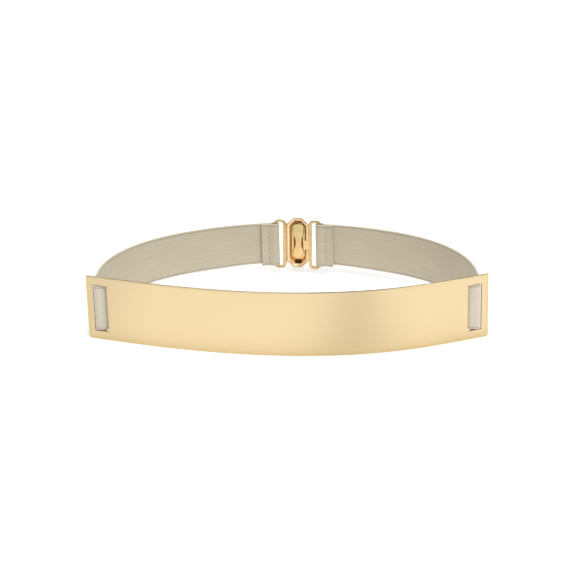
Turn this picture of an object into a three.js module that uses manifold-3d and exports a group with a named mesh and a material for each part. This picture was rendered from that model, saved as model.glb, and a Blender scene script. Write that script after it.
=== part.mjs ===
// Elastic stretch belt, standing as a closed loop on the lower edge of its metal front plate.
// Millimetres, +Z up. The plate faces -Y, the clasp is at the back, and +X is the viewer's right.
// The origin is the middle of the belt's box, on the surface that it stands on.

import * as THREE from "three";
import { mergeVertices } from "three/addons/utils/BufferGeometryUtils.js";
import Module from "manifold-3d";

const wasm = await Module();
wasm.setup();

// Gaps
const seat_gap = 0.3; // between touching pieces
const cut_past = 1; // how far a cutter runs past the face that it opens
const same_point = 0.001; // points closer than this are one

// Elastic bands
const strap_width = 36.3;
const strap_wall = 1.8;

// Front plate
const plate_length = 314.5; // along its curve
const plate_wall = 1.5;
const plate_border = 6.75; // metal above and below a window
const plate_low_corner = 2.2;
const plate_high_corner = 0.6;
const plate_turn = THREE.MathUtils.degToRad(43.2);
// Arcs from the left end to the right, as shares of the plate's length and turn
const plate_bends = [
  { length: 0.11, turn: 0.0 },
  { length: 0.27, turn: 0.22 },
  { length: 0.26, turn: 0.335 },
  { length: 0.23, turn: 0.4 },
  { length: 0.13, turn: 0.045 },
];

// Windows of the plate, one near each end
const window_width = 11.4;
const window_play = 0.6; // above and below the band
const window_corner = 0.6;
const window_margin = 5.75; // from the plate's end

// Hidden bars that hold the bands behind the windows
const bar_width = 6;
const bar_wall = 1.5;
const foot_height = 3;
const foot_width = 4.4;
const foot_lap = 0.4; // how deep a foot runs into the metal that it is soldered to
const fold_proud = 0.6; // how far a fold stands out of the plate's face
// How far each band leaves outward of the plate's normal
const band_lean = {
  left: THREE.MathUtils.degToRad(28),
  right: THREE.MathUtils.degToRad(27.2),
};

// Folds of the bands, sewn back on their inner side
const plate_tab = 13.5; // fold to the end of the tab
const plate_merge = 9; // bar to where the two layers meet
const clasp_tab = 14.6;
const clasp_merge = 5.5;
const clasp_fold_slack = 1.1; // room in front of the ring's bar

// Where the clasp lies
const clasp_reach = 125.3; // from the plate's chord back to the rings
const clasp_offset = 3.2; // to the right of the chord's middle
const clasp_turn = THREE.MathUtils.degToRad(-4);
const clasp_roll = THREE.MathUtils.degToRad(0.8); // its right end hangs lower
const clasp_fall = THREE.MathUtils.degToRad(7.5); // how far each band turns forward as it leaves
// Handles of each band's curve, as shares of the way between its two bars
const band_reach = {
  left: { plate: 0.55, clasp: 0.22 },
  right: { plate: 0.57, clasp: 0.2 },
};

// Rings of the clasp
const ring_length = 10.3;
const ring_wire = 2.1;
const ring_inner_bar = 2.5; // the bar beside the frame is wider
const ring_play = 0.9; // above and below the band
const ring_near_corner = 3.4;
const ring_far_corner = 4.6;
const ring_round = 0.6; // rounding of the wire's edges

// Eight-sided frame of the clasp: a dish with sloped sides, open towards the wearer
const frame_width = 18.7;
const frame_over_ring = 0.5; // how far it stands above and below the rings
const frame_cut = 6; // its corners
const frame_depth = 4.8;
const frame_lip = 1; // upright part of its side, at the rim
const frame_slope = 3.5; // how far its sides lean in
const frame_wall = 1.3;
const frame_border = 1.1; // flat rim
const frame_bevel = 1.4; // from the rim down to the well
const frame_bevel_depth = 0.9;
const frame_draft = 1.1; // how far the well's sides lean in
const frame_set_back = 2.2; // from the rings' middle plane out to the rim
const frame_raise = 0.4; // its middle above the rings' middle
const solder_height = 34;

// Tongue of the other half, which lies in the frame: a plate with a waisted boss and a pocket
// on each side of the waist
const tongue_width = 9.6; // of the boss
const tongue_height = 31;
const tongue_depth = 0.3; // below the frame's rim
const tongue_offset = 0.5; // towards the ring that carries it
const tongue_raise = 1.3; // above the frame's middle
const tongue_round = 0.7; // how far the boss's top draws in
const tongue_round_depth = 0.45;
const strip_width = 10.4; // of the plate under the boss
const strip_corner = 3;
const strip_depth = 0.6; // its face below the boss's top
const strip_wall = 1.6;
const pocket_width = 7.8;
const pocket_height = 15.5;
const pocket_floor = 0.5;
const neck_height = 8;
const neck_drop = 2.2; // below the frame's middle
const neck_wall = 1.7;
// Half outline of the boss from top to bottom, as shares of its half height and half width
const tongue_sections = [
  { rise: 1.0, half: 0.5 },
  { rise: 0.93, half: 0.92 },
  { rise: 0.78, half: 1.0 },
  { rise: 0.45, half: 0.95 },
  { rise: 0.1, half: 0.6 },
  { rise: -0.22, half: 0.58 },
  { rise: -0.6, half: 1.0 },
  { rise: -0.76, half: 0.88 },
  { rise: -0.92, half: 0.5 },
  { rise: -1.0, half: 0.3 },
];

// Fineness of the curves
const plate_steps = 12; // for each bend
const band_steps = 56;
const eye_steps = 8;
const corner_steps = 5;
const tongue_steps = 28;

// Worked out from the sizes above
const window_height = strap_width + 2 * window_play;
const plate_height = window_height + 2 * plate_border;
const middle_height = plate_height / 2;
const ring_hole_height = strap_width + 2 * ring_play;
const ring_height = ring_hole_height + 2 * ring_wire;
const frame_height = ring_height + 2 * frame_over_ring;
const up = new THREE.Vector3(0, 0, 1);

// Solids

function toSolid(geometry) {
  const bare = geometry.index ? geometry.clone() : mergeVertices(geometry.clone());
  bare.deleteAttribute("normal");
  bare.deleteAttribute("uv");
  const merged = mergeVertices(bare, 1e-5);
  const vertProperties = new Float32Array(merged.attributes.position.array);
  const triVerts = new Uint32Array(merged.index.array);
  return new wasm.Manifold(new wasm.Mesh({ numProp: 3, vertProperties, triVerts }));
}

function toGeometry(solid) {
  const mesh = solid.getMesh();
  const geometry = new THREE.BufferGeometry();
  geometry.setAttribute("position", new THREE.BufferAttribute(new Float32Array(mesh.vertProperties), 3));
  geometry.setIndex(new THREE.BufferAttribute(new Uint32Array(mesh.triVerts), 1));
  geometry.computeVertexNormals();
  return geometry;
}

function joined(geometries) {
  return geometries.map(toSolid).reduce((whole, piece) => whole.add(piece));
}

// The same outline with no point twice
function distinct(points) {
  return points.filter((point, i) => point.distanceTo(points[(i + 1) % points.length]) > same_point);
}

// A closed outline whose corners are arcs: each corner is {x, y, radius}
function roundedOutline(corners) {
  const points = [];
  corners.forEach((corner, i) => {
    const here = new THREE.Vector2(corner.x, corner.y);
    const before = corners[(i + corners.length - 1) % corners.length];
    const after = corners[(i + 1) % corners.length];
    const back = new THREE.Vector2(before.x, before.y).sub(here).normalize();
    const on = new THREE.Vector2(after.x, after.y).sub(here).normalize();
    const half = Math.acos(THREE.MathUtils.clamp(back.dot(on), -1, 1)) / 2;
    const middle = back.clone().add(on).normalize();
    const centre = here.clone().addScaledVector(middle, corner.radius / Math.sin(half));
    const start = here.clone().addScaledVector(back, corner.radius / Math.tan(half)).sub(centre);
    const sweep = Math.PI - 2 * half;
    const hand = Math.sign(back.cross(on)) || 1;
    for (let k = 0; k <= corner_steps; k += 1) {
      const turned = start.clone().rotateAround(new THREE.Vector2(), (-hand * sweep * k) / corner_steps);
      points.push(centre.clone().add(turned));
    }
  });
  return points;
}

function rectangle(x0, x1, y0, y1, radii) {
  const [lowLeft, lowRight, highRight, highLeft] = radii;
  return roundedOutline([
    { x: x0, y: y0, radius: lowLeft },
    { x: x1, y: y0, radius: lowRight },
    { x: x1, y: y1, radius: highRight },
    { x: x0, y: y1, radius: highLeft },
  ]);
}

function slab(outline, z0, z1) {
  const geometry = new THREE.ExtrudeGeometry(new THREE.Shape(distinct(outline)), {
    depth: z1 - z0,
    bevelEnabled: false,
  });
  return geometry.translate(0, 0, z0);
}

function block(x0, x1, y0, y1, z0, z1) {
  const geometry = new THREE.BoxGeometry(x1 - x0, y1 - y0, z1 - z0);
  return geometry.translate((x0 + x1) / 2, (y0 + y1) / 2, (z0 + z1) / 2);
}

// A solid through counter-clockwise outlines of the same number of points, from the lowest up
function loft(sections) {
  const count = sections[0].outline.length;
  const positions = [];
  sections.forEach(({ outline, z }) => outline.forEach((point) => positions.push(point.x, point.y, z)));
  const faces = [];
  for (let k = 1; k < sections.length; k += 1) {
    for (let i = 0; i < count; i += 1) {
      const low = (k - 1) * count;
      const high = k * count;
      const next = (i + 1) % count;
      faces.push(low + i, low + next, high + next, low + i, high + next, high + i);
    }
  }
  const top = (sections.length - 1) * count;
  for (const [a, b, c] of THREE.ShapeUtils.triangulateShape(sections[0].outline, [])) faces.push(a, c, b);
  for (const [a, b, c] of THREE.ShapeUtils.triangulateShape(sections.at(-1).outline, [])) {
    faces.push(top + a, top + b, top + c);
  }
  const geometry = new THREE.BufferGeometry();
  geometry.setAttribute("position", new THREE.Float32BufferAttribute(positions, 3));
  geometry.setIndex(faces);
  return geometry;
}

// A frame of axes that stands upright: X to the side, Y up, Z along "forward"
function standing(point, forward, height) {
  const ahead = new THREE.Vector3(forward.x, forward.y, 0).normalize();
  const side = new THREE.Vector3().crossVectors(up, ahead);
  return new THREE.Matrix4().makeBasis(side, up, ahead).setPosition(point.x, point.y, height);
}

// Plan of the plate

const plate_arcs = [];
let plan_end = { point: new THREE.Vector2(), heading: 0, at: 0 };
for (const bend of plate_bends) {
  const arc = { ...plan_end, length: bend.length * plate_length, turn: bend.turn * plate_turn };
  plate_arcs.push(arc);
  plan_end = arcEnd(arc, arc.length);
}
const plan_chord = plan_end.point.clone();
const plan_tilt = -Math.atan2(plan_chord.y, plan_chord.x);

function arcEnd(arc, along) {
  const turned = (arc.turn * along) / arc.length;
  const chord = Math.abs(turned) < 1e-9 ? along : (2 * along * Math.sin(turned / 2)) / turned;
  const direction = arc.heading + turned / 2;
  const step = new THREE.Vector2(Math.cos(direction), Math.sin(direction)).multiplyScalar(chord);
  return { point: arc.point.clone().add(step), heading: arc.heading + turned, at: arc.at + along };
}

// The plate's outer face at a distance from its left end, with the chord along X
function plateAt(along) {
  const arc = plate_arcs.findLast((candidate) => candidate.at <= along) ?? plate_arcs[0];
  const { point, heading } = arcEnd(arc, along - arc.at);
  const placed = point.clone().rotateAround(new THREE.Vector2(), plan_tilt);
  placed.x -= plan_chord.length() / 2;
  const direction = heading + plan_tilt;
  return { point: placed, outward: new THREE.Vector2(Math.sin(direction), -Math.cos(direction)) };
}

function plateStations() {
  const stations = [];
  plate_arcs.forEach((arc) => {
    for (let k = 0; k < plate_steps; k += 1) stations.push(arc.at + (arc.length * k) / plate_steps);
  });
  return [...stations, plan_end.at];
}

// Ends of the bands: each side has a hand, -1 on the left and +1 on the right

// The fold round a plate's bar is a long round, turned by the lean. Its outer end stands proud
// of the plate's face and clears the window's edge.
function leaving(side) {
  const lean = band_lean[side.name];
  const half = { across: bar_width / 2 + seat_gap, ahead: bar_wall / 2 + seat_gap };
  const round = half.ahead + strap_wall;
  const straight = half.across - half.ahead;
  const round_depth = round - fold_proud;
  const behind_plate = Math.max(0, round_depth - plate_wall);
  const aside = window_width / 2 - Math.sqrt((round + seat_gap) ** 2 - behind_plate ** 2);
  const bar_aside = aside - straight * Math.cos(lean);
  const bar_depth = round_depth + straight * Math.sin(lean);
  const along = window_margin + window_width / 2;
  const { point, outward } = plateAt(side.hand < 0 ? along : plan_end.at - along);
  const heading = outward.clone().negate().rotateAround(new THREE.Vector2(), -side.hand * lean);
  const to_end = new THREE.Vector2(-outward.y, outward.x).multiplyScalar(side.hand);
  const bar = point.clone().addScaledVector(outward, -bar_depth).addScaledVector(to_end, bar_aside);
  return { window: point, outward, heading, half, bar, bar_aside: bar_aside * side.hand, bar_depth };
}

const clasp_centre = new THREE.Vector2(clasp_offset, clasp_reach);
const clasp_right = new THREE.Vector2(Math.cos(clasp_turn), Math.sin(clasp_turn));
const ring_gap = { left: 0, right: seat_gap }; // the right ring belongs to the other half

function ringBarDistance(side) {
  return frame_width / 2 + ring_gap[side.name] + ring_length - ring_wire / 2;
}

function arriving(side) {
  const bar = clasp_centre.clone().addScaledVector(clasp_right, side.hand * ringBarDistance(side));
  const away = clasp_right.clone().multiplyScalar(side.hand);
  const heading = away.rotateAround(new THREE.Vector2(), -side.hand * clasp_fall);
  const half = { across: ring_wire / 2 + seat_gap, ahead: ring_wire / 2 + clasp_fold_slack };
  return { bar, heading, half };
}

// The inner face of a band, from the plate's bar to the ring's bar
function bandRoute(side) {
  const start = leaving(side);
  const finish = arriving(side);
  const outer = new THREE.Vector2(start.heading.y, -start.heading.x).multiplyScalar(side.hand);
  const from = start.bar.clone().addScaledVector(outer, start.half.across);
  const span = from.distanceTo(finish.bar);
  const reach = band_reach[side.name];
  return new THREE.CubicBezierCurve(
    from,
    from.clone().addScaledVector(start.heading, reach.plate * span),
    finish.bar.clone().addScaledVector(finish.heading, reach.clasp * span),
    finish.bar,
  );
}

// A point beside a route: "along" runs past both its ends, "out" is away from the wearer
function besideRoute(route, length, hand, along, out) {
  const inside = THREE.MathUtils.clamp(along, 0, length);
  const tangent = route.getTangentAt(inside / length);
  const outer = new THREE.Vector2(tangent.y, -tangent.x).multiplyScalar(hand);
  const past = along - inside;
  return route.getPointAt(inside / length).addScaledVector(tangent, past).addScaledVector(outer, out);
}

function ease(share) {
  return (1 + Math.cos(Math.PI * share)) / 2;
}

// Half of an eye round a bar, from its inner side round the front to its outer side.
// "skin" is 0 for the hole and the band's wall for the outside. Each point is [along, out].
function eyeOutline(eye, skin) {
  const radius = Math.min(eye.ahead, eye.across) + skin;
  const ahead = eye.ahead + skin - radius;
  const inner = -eye.inner - skin + radius;
  const outer = eye.outer + skin - radius;
  const points = [];
  const closing = skin > 0 ? 1 : eye.closed;
  for (let k = eye_steps; k > 0; k -= 1) {
    const share = (closing * k) / eye_steps;
    points.push([share * eye.merge, -skin - eye.inner * ease(share)]);
  }
  for (let k = 0; k <= corner_steps; k += 1) {
    const angle = (Math.PI / 2) * (k / corner_steps);
    points.push([-ahead - radius * Math.sin(angle), inner - radius * Math.cos(angle)]);
  }
  for (let k = 0; k <= corner_steps; k += 1) {
    const angle = (Math.PI / 2) * (1 - k / corner_steps);
    points.push([-ahead - radius * Math.sin(angle), outer + radius * Math.cos(angle)]);
  }
  for (let k = 1; k <= eye_steps; k += 1) {
    const share = (closing * k) / eye_steps;
    points.push([share * eye.merge, skin + eye.outer * ease(share)]);
  }
  return points;
}

function band(side) {
  const route = bandRoute(side);
  const length = route.getLength();
  const start = leaving(side);
  const finish = arriving(side);
  const closed = 0.85; // where the hole of an eye ends, as a share of its merge
  const eyes = [
    {
      ...start.half,
      inner: 2 * start.half.across,
      outer: 0,
      merge: plate_merge,
      closed,
      tab: plate_tab - start.half.ahead - strap_wall,
      place: (along) => along,
    },
    {
      ...finish.half,
      inner: finish.half.across,
      outer: finish.half.across,
      merge: clasp_merge,
      closed,
      tab: clasp_tab - finish.half.ahead - strap_wall,
      place: (along) => length - along,
    },
  ];
  const at = (along, out) => besideRoute(route, length, side.hand, along, out);
  const eyePoints = (eye, skin) => eyeOutline(eye, skin).map(([s, n]) => at(eye.place(s), n));
  const [first, last] = eyes;
  const outside = [
    at(first.tab, 0),
    at(first.tab, -strap_wall),
    ...eyePoints(first, strap_wall),
  ];
  for (let k = 1; k < band_steps; k += 1) {
    const along = first.merge + ((length - first.merge - last.merge) * k) / band_steps;
    outside.push(at(along, strap_wall));
  }
  outside.push(
    ...eyePoints(last, strap_wall).reverse(),
    at(length - last.tab, -strap_wall),
    at(length - last.tab, 0),
  );
  for (let k = band_steps - 1; k > 0; k -= 1) {
    outside.push(at(first.tab + ((length - first.tab - last.tab) * k) / band_steps, 0));
  }
  if (THREE.ShapeUtils.isClockWise(outside)) outside.reverse();
  const shape = new THREE.Shape(distinct(outside));
  shape.holes = eyes.map((eye) => new THREE.Path(distinct(eyePoints(eye, 0))));
  const geometry = new THREE.ExtrudeGeometry(shape, { depth: strap_width, bevelEnabled: false });
  return geometry.translate(0, 0, middle_height - strap_width / 2);
}

// Front plate with its windows, and the bars soldered behind them

function plateBlank() {
  const stations = plateStations().map(plateAt);
  const front = stations.map(({ point }) => point);
  const back = stations.map(({ point, outward }) => point.clone().addScaledVector(outward, -plate_wall));
  return slab([...front, ...back.reverse()], 0, plate_height);
}

function windowCutter() {
  const radii = [window_corner, window_corner, window_corner, window_corner];
  const x = window_width / 2;
  const y = window_height / 2;
  return slab(rectangle(-x, x, -y, y, radii), -plate_wall - cut_past, cut_past);
}

// What rounds one corner of the plate: a square less a quarter disc, for the upper right corner
function cornerCutter(radius) {
  const outline = [new THREE.Vector2(cut_past, cut_past), new THREE.Vector2(-radius, cut_past)];
  for (let k = 0; k <= corner_steps; k += 1) {
    const angle = (Math.PI / 2) * (1 - k / corner_steps);
    outline.push(new THREE.Vector2(radius * (Math.cos(angle) - 1), radius * (Math.sin(angle) - 1)));
  }
  outline.push(new THREE.Vector2(cut_past, -radius));
  return slab(outline, -plate_wall - cut_past, cut_past);
}

function cornerCutters() {
  return [0, plan_end.at].flatMap((along) => {
    const { point, outward } = plateAt(along);
    const half_turn = along === 0 ? Math.PI : 0;
    return [1, -1].map((side) => {
      const cutter = cornerCutter(side > 0 ? plate_high_corner : plate_low_corner);
      const upside = side > 0 ? 0 : Math.PI;
      // The lower corners are the upper ones turned over, and the left ones the right ones turned round
      if (half_turn !== upside) cutter.rotateY(Math.PI).translate(0, 0, -plate_wall);
      if (upside) cutter.rotateZ(Math.PI);
      return cutter.applyMatrix4(standing(point, outward, side > 0 ? plate_height : 0));
    });
  });
}

function heldBar(side) {
  const { window, outward, heading, bar, bar_aside, bar_depth } = leaving(side);
  const foot_start = window_height / 2 + seat_gap;
  const half_height = foot_start + foot_height;
  const edge = bar_wall / 2;
  const section = rectangle(-bar_width / 2, bar_width / 2, -edge, edge, [edge, edge, edge, edge]);
  const rod = slab(section, -half_height, half_height).rotateX(Math.PI / 2);
  rod.applyMatrix4(standing(bar, heading.clone().negate(), middle_height));
  const feet = [
    [foot_start, half_height],
    [-half_height, -foot_start],
  ].map(([low, high]) => {
    const foot = block(-foot_width / 2, foot_width / 2, low, high, -bar_depth, foot_lap - plate_wall);
    foot.translate(bar_aside, 0, 0);
    return foot.applyMatrix4(standing(window, outward, middle_height));
  });
  return [rod, ...feet];
}

function frontPlate(sides) {
  let solid = toSolid(plateBlank());
  for (const side of sides) {
    const { window, outward } = leaving(side);
    const cutter = windowCutter().applyMatrix4(standing(window, outward, middle_height));
    solid = solid.subtract(toSolid(cutter));
  }
  for (const cutter of cornerCutters()) solid = solid.subtract(toSolid(cutter));
  return toGeometry(solid.add(joined(sides.flatMap(heldBar))));
}

// Clasp, in its own axes: X to the right, Y up, Z towards the wearer, the rings' middle at Z = 0

function ring(side) {
  const near = frame_width / 2 + ring_gap[side.name];
  const far = near + ring_length;
  const outer = rectangle(near, far, -ring_height / 2, ring_height / 2, [
    ring_near_corner, ring_far_corner, ring_far_corner, ring_near_corner,
  ]);
  const near_hole = ring_near_corner - ring_wire;
  const far_hole = ring_far_corner - ring_wire;
  const hole_half = ring_hole_height / 2;
  const hole = rectangle(near + ring_inner_bar, far - ring_wire, -hole_half, hole_half, [
    near_hole, far_hole, far_hole, near_hole,
  ]);
  const shape = new THREE.Shape(outer);
  shape.holes = [new THREE.Path(hole)];
  const geometry = new THREE.ExtrudeGeometry(shape, {
    depth: ring_wire - 2 * ring_round,
    bevelThickness: ring_round,
    bevelSize: ring_round,
    bevelOffset: -ring_round,
    bevelSegments: 2,
  });
  geometry.translate(0, 0, ring_round - ring_wire / 2);
  return side.hand > 0 ? geometry : geometry.rotateY(Math.PI);
}

// The frame's outline, drawn in by "inset" all round
function octagon(inset) {
  const x = frame_width / 2 - inset;
  const y = frame_height / 2 - inset;
  const cut = frame_cut - inset * (2 - Math.SQRT2);
  const corners = [
    [x, y - cut], [x - cut, y], [cut - x, y], [-x, y - cut],
    [-x, cut - y], [cut - x, -y], [x - cut, -y], [x, cut - y],
  ];
  return corners.map(([px, py]) => new THREE.Vector2(px, py + frame_raise));
}

const rim = -frame_set_back;
const frame_face = rim - frame_depth;
const tongue_top = rim - tongue_depth;
const strip_face = tongue_top - strip_depth;
const tongue_bottom = strip_face - strip_wall;
const tongue_middle = frame_raise + tongue_raise;
const neck_middle = frame_raise - neck_drop;

function frameDish() {
  const dish = toSolid(loft([
    { outline: octagon(frame_slope), z: frame_face },
    { outline: octagon(0), z: rim - frame_lip },
    { outline: octagon(0), z: rim },
  ]));
  const well = frame_border + frame_bevel;
  const hollow = toSolid(loft([
    { outline: octagon(well + frame_draft), z: frame_face + frame_wall },
    { outline: octagon(well), z: rim - frame_bevel_depth },
    { outline: octagon(frame_border), z: rim },
    { outline: octagon(frame_border), z: rim + cut_past },
  ]));
  const half_notch = neck_height / 2 + seat_gap;
  const notch = toSolid(block(
    frame_width / 2 - well - frame_draft, frame_width / 2 + cut_past,
    neck_middle - half_notch, neck_middle + half_notch,
    tongue_bottom - seat_gap, rim + cut_past,
  ));
  return dish.subtract(hollow).subtract(notch);
}

function claspFrame(side) {
  const edge = frame_width / 2;
  const solder = block(
    -edge - ring_inner_bar / 2, -edge + frame_wall / 2,
    -solder_height / 2, solder_height / 2,
    rim - frame_lip, 0,
  );
  return toGeometry(frameDish().add(joined([ring(side), solder])));
}

// The boss's outline, drawn in by "inset" all round, counter-clockwise
function tongueOutline(inset) {
  const half_width = (half) => (half * tongue_width) / 2 - inset;
  const right = new THREE.SplineCurve(tongue_sections.map(({ rise, half }) => (
    new THREE.Vector2(half_width(half), rise * (tongue_height / 2 - inset))
  ))).getPoints(tongue_steps);
  const left = right.map(({ x, y }) => new THREE.Vector2(-x, y));
  const middle = new THREE.Vector2(tongue_offset, tongue_middle);
  return [...left, ...right.reverse()].map((point) => point.add(middle));
}

function tongue() {
  const half_strip = strip_width / 2;
  const half_height = tongue_height / 2;
  const cut = half_strip - strip_corner;
  const strip = slab([
    [half_strip, strip_corner - half_height], [half_strip, half_height - strip_corner],
    [cut, half_height], [-cut, half_height],
    [-half_strip, half_height - strip_corner], [-half_strip, strip_corner - half_height],
    [-cut, -half_height], [cut, -half_height],
  ].map(([x, y]) => new THREE.Vector2(x + tongue_offset, y + tongue_middle)), tongue_bottom, strip_face);
  const pocket = block(
    tongue_offset - pocket_width / 2, tongue_offset + pocket_width / 2,
    tongue_middle - pocket_height / 2, tongue_middle + pocket_height / 2,
    tongue_bottom + pocket_floor, strip_face + cut_past,
  );
  const boss = loft([
    { outline: tongueOutline(0), z: tongue_bottom + pocket_floor / 2 },
    { outline: tongueOutline(0), z: tongue_top - tongue_round_depth },
    { outline: tongueOutline(tongue_round), z: tongue_top },
  ]);
  return toSolid(strip).subtract(toSolid(pocket)).add(toSolid(boss));
}

function claspHook(side) {
  const bar_edge = frame_width / 2 + ring_gap[side.name];
  const bar_middle = bar_edge + ring_inner_bar / 2;
  const neck_low = neck_middle - neck_height / 2;
  const neck_high = neck_middle + neck_height / 2;
  const neck_start = tongue_offset + (pocket_width + strip_width) / 4;
  const neck = block(neck_start, bar_middle, neck_low, neck_high, tongue_bottom, tongue_bottom + neck_wall);
  const riser = block(bar_edge, bar_middle, neck_low, neck_high, tongue_bottom, 0);
  return toGeometry(tongue().add(joined([ring(side), neck, riser])));
}

// Materials

const polished_gold = new THREE.MeshStandardMaterial({ color: 0xf0d49c, roughness: 0.22, metalness: 1 });
const clasp_gold = new THREE.MeshStandardMaterial({ color: 0xd6ac68, roughness: 0.28, metalness: 1 });
const khaki_elastic = new THREE.MeshStandardMaterial({ color: 0xb9ab90, roughness: 0.85, metalness: 0 });

// Belt

const left = { name: "left", hand: -1 };
const right = { name: "right", hand: 1 };
const toWearer = new THREE.Vector2(clasp_right.y, -clasp_right.x);
const claspAxes = standing(clasp_centre, toWearer, middle_height)
  .multiply(new THREE.Matrix4().makeRotationZ(-clasp_roll));

const belt = new THREE.Group();

function addPiece(name, geometry, material) {
  const mesh = new THREE.Mesh(geometry, material);
  mesh.name = name;
  belt.add(mesh);
}

addPiece("front_plate", frontPlate([left, right]), polished_gold);
addPiece("strap_left", band(left), khaki_elastic);
addPiece("strap_right", band(right), khaki_elastic);
addPiece("clasp_frame", claspFrame(left).applyMatrix4(claspAxes), clasp_gold);
addPiece("clasp_hook", claspHook(right).applyMatrix4(claspAxes), clasp_gold);

const box = new THREE.Box3().setFromObject(belt);
belt.position.set(-(box.min.x + box.max.x) / 2, -(box.min.y + box.max.y) / 2, -box.min.z);

export default belt;
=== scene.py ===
"""Looks of an elastic stretch belt: a curved metal front plate, two elastic bands and a clasp.

Lengths are millimetres in the plan of the belt and turn into the frame's metres in to_frame.
The plan has the plate's chord along X and the clasp behind it.
"""

import math

import bmesh
import bpy
import numpy as np
from mathutils import Matrix, Vector


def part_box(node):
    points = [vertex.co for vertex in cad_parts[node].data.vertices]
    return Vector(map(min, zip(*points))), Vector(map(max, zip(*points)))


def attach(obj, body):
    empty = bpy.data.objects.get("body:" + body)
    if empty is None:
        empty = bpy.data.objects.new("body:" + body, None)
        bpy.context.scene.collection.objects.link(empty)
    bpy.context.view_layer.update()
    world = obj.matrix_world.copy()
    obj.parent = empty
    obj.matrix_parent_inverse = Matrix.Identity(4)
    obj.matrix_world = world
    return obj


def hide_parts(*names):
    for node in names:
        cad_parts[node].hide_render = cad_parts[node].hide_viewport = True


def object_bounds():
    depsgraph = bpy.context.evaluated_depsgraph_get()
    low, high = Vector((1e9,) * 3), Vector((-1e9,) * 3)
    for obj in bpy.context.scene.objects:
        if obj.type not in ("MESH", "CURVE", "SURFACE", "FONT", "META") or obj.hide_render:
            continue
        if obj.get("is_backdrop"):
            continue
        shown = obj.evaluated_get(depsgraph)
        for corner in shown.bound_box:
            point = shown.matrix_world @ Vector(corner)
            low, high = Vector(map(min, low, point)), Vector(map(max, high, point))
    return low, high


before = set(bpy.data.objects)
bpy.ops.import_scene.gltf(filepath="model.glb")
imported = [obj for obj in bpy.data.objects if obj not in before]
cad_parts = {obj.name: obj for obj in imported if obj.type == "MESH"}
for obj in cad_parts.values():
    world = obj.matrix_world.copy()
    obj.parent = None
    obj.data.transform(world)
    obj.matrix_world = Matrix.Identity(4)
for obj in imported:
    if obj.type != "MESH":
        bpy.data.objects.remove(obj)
cad_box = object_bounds()
front_low, front_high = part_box("front_plate")

MM = 0.001
BODY = "root"

# Elastic bands
strap_width = 36.3
strap_wall = 1.8
layer_gap = 0.08  # between a band and its sewn tab
same_point = 0.05  # places nearer than this count as one
rib_count = 17
rib_relief = 0.17
rib_segments = 6
selvage_width = 1.5
selvage_groove = 0.4
groove_side = 0.12  # from the groove's bottom to a place on its side
groove_side_share = 0.7  # of the groove's depth at that place
selvage_shade = 0.68  # of the cloth's tone: painted shade in the line between ribs and selvage
selvage_shade_core = 0.15
selvage_shade_reach = 0.55
rib_calm = 0.3  # share of the ribs' relief away from the folds at the plate
rib_calm_from = 22.0  # along the band from its cut end
rib_calm_over = 12.0
yarn_pitch = 0.62  # of the yarns across the ribs
seam_pinch = 1.3  # how much narrower the seam draws the band
seam_pinch_reach = 28.0
edge_round = 0.55
edge_segments = 5

# Front plate
plate_length = 314.5
plate_wall = 1.5
plate_height = (front_high.z - front_low.z) / MM
plate_low_corner = 2.2
plate_high_corner = 0.6
plate_turn = math.radians(43.2)
# Shares of the plate's length and turn from the left end to the right
plate_bends = [(0.11, 0.0), (0.27, 0.22), (0.26, 0.335), (0.23, 0.4), (0.13, 0.045)]
plate_soften = 26.0  # length over which one bend runs into the next
plate_edge_round = 0.22
plate_roll = 0.2  # how far the border rolls back
plate_roll_width = 3.4
border_width = 3.6  # of the deeper tone along the plate's ends and lower edge, painted shade for the rolled border's darker reflections
dark_edge_middle = 208.0  # where the painted shade on the top cut edge is darkest, along the plate
dark_edge_reach = 44.0
dark_edge_least = 0.12
window_side_dark = 0.85  # painted shade of the cut edge on the outer side of each window
window_edge_dark = 0.42  # painted shade on its other sides

# Lines of the plate's mesh
spacing_along = 2.0
spacing_up = 2.4
edge_shares = (0.0, 0.07, 0.29, 0.6, 1.0)  # of an edge's rounding
roll_lines = (0.85, 1.5, 2.3)  # over the rolled border
corner_shares = (0.4, 0.7, 1.0)  # of a window's corner
line_slack = 1e-4  # more than the rounding of the lines' places

# Windows and the bars behind them
window_width = 11.4
window_play = 0.6
window_corner = 0.6
window_margin = 5.75
bar_width = 6.0
bar_wall = 1.5
bar_round = 0.675
foot_height = 3.0
foot_width = 4.4
foot_round = 0.35
foot_lap = 0.25  # how deep a foot runs into the plate's metal
foot_past = 0.05  # and past the bar's middle
fold_proud = 0.6
seat_gap = 0.3
band_lean = {"left": math.radians(28), "right": math.radians(27.2)}

# Folds of the bands
plate_tab = 13.5
plate_merge = 9.0
clasp_tab = 14.6
clasp_merge = 5.5
clasp_fold_slack = 1.1
tab_lift = 0.5  # how far a clasp tab's cut end stands off its band
tab_press = 1.7  # from the cut end to the line pressed into it
tab_press_width = 0.5
tab_press_depth = 0.22

# Clasp
clasp_reach = 125.3
clasp_offset = 3.2
clasp_turn = math.radians(-4)
clasp_fall = math.radians(7.5)
band_reach = {"left": (0.55, 0.22), "right": (0.57, 0.2)}
ring_length = 10.3
ring_wire = 2.1
frame_width = 18.7
frame_half_height = 21.65
frame_cut = 6.0
frame_raise = 0.4
frame_set_back = 2.2
clasp_edge_round = 0.22
clasp_edge_angle = math.radians(28)  # two faces that turn by more have an edge between them
clasp_flat_angle = math.radians(1)  # two faces that turn by less are one
same_corner = 0.01  # corners nearer than this are one
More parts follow.
